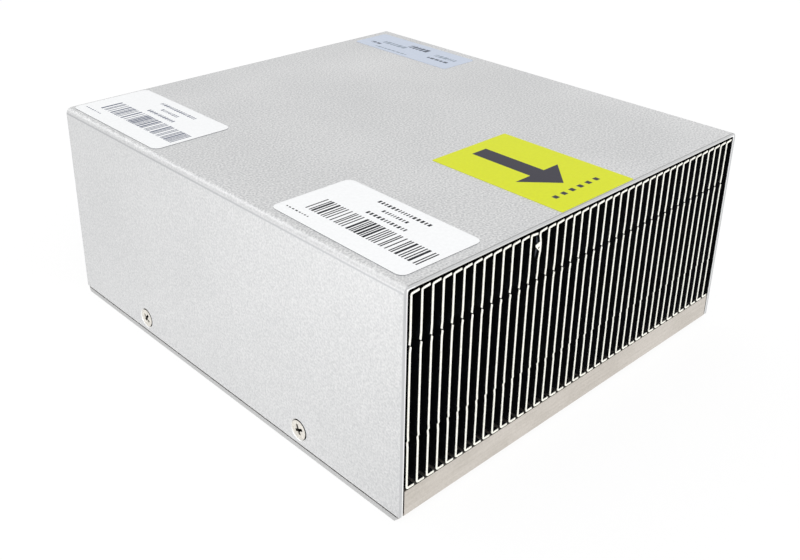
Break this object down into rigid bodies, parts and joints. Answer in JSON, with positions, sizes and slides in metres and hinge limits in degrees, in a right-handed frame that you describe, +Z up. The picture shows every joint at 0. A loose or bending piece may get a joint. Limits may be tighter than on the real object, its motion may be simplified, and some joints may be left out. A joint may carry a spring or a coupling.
{
  "type": "passive server cpu heatsink",
  "caption": "Passive heatsink: a row of upright folded fins on a thick flat base plate, under a folded sheet cover that is open at both ends for air to be blown through.",
  "frame": {"origin": "middle of the footprint, on the underside of the base plate", "axes": "+X along the row of fins, +Y from the front open fin face to the rear one, the way the air flows, +Z up, away from the processor"},
  "size_m": [0.1286, 0.1396, 0.0601],
  "materials": {
    "base_aluminium": "machined, bare",
    "cover_aluminium": "mill finish, matt",
    "fin_aluminium": "mill finish",
    "screw_steel": "zinc plated",
    "white_paper": "matt paper label",
    "yellow_film": "satin label film",
    "clear_film": "clear tinted film"
  },
  "bodies": {
    "root": {"base_plate": "base_aluminium", "cover": "cover_aluminium", "fin_01": "fin_aluminium", "fin_02": "fin_aluminium", "fin_03": "fin_aluminium", "fin_04": "fin_aluminium", "fin_05": "fin_aluminium", "fin_06": "fin_aluminium", "fin_07": "fin_aluminium", "fin_08": "fin_aluminium", "fin_09": "fin_aluminium", "fin_10": "fin_aluminium", "fin_11": "fin_aluminium", "fin_12": "fin_aluminium", "fin_13": "fin_aluminium", "fin_14": "fin_aluminium", "fin_15": "fin_aluminium", "fin_16": "fin_aluminium", "fin_17": "fin_aluminium", "fin_18": "fin_aluminium", "fin_19": "fin_aluminium", "fin_20": "fin_aluminium", "fin_21": "fin_aluminium", "fin_22": "fin_aluminium", "fin_23": "fin_aluminium", "fin_24": "fin_aluminium", "fin_25": "fin_aluminium", "fin_26": "fin_aluminium", "fin_27": "fin_aluminium", "fin_28": "fin_aluminium", "fin_29": "fin_aluminium", "fin_30": "fin_aluminium", "fin_31": "fin_aluminium", "fin_32": "fin_aluminium", "fin_33": "fin_aluminium", "fin_34": "fin_aluminium", "fin_35": "fin_aluminium", "fin_36": "fin_aluminium", "fin_37": "fin_aluminium", "fin_38": "fin_aluminium", "fin_39": "fin_aluminium", "fin_40": "fin_aluminium", "cover_screws": "screw_steel", "label_rear": "white_paper", "label_front": "white_paper", "label_arrow": "yellow_film", "label_film": "clear_film"}
  },
  "joints": []
}
